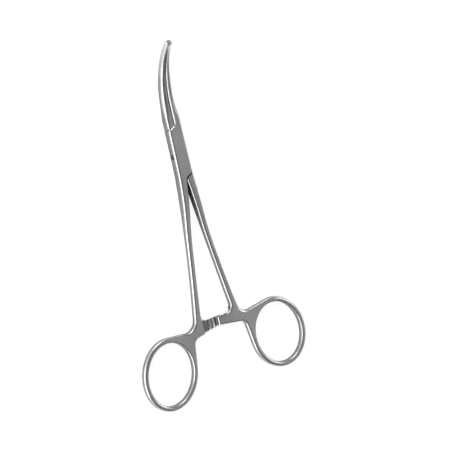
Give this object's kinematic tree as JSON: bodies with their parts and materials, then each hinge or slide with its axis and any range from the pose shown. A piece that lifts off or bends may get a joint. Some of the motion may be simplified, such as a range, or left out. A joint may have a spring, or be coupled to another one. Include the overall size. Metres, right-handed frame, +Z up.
{
  "type": "hemostat forceps",
  "caption": "Curved locking hemostat forceps with a box lock, finger rings, a ratchet catch and cross-grooved curved jaws.",
  "frame": {"origin": "on the axis of the box lock's pin, in the flat back plane that the closed forceps rests on", "axes": "+Y along the closed jaws towards the tips, +X across to the right-hand finger ring, +Z up from the flat back, the side the jaws curve to"},
  "size_m": [0.075, 0.1403, 0.0145],
  "materials": {
    "steel": "satin, finely ground stainless steel",
    "pin_steel": "satin, ground flush with the box"
  },
  "bodies": {
    "female": {"female_half": "steel", "lock_pin": "pin_steel"},
    "male": {"male_half": "steel"}
  },
  "joints": [
    {"name": "box_lock", "type": "hinge", "parent": "female", "child": "male", "pos_m": [0, 0, 0.00215], "axis": [0, 0, 1], "range_deg": [0, 50]}
  ]
}
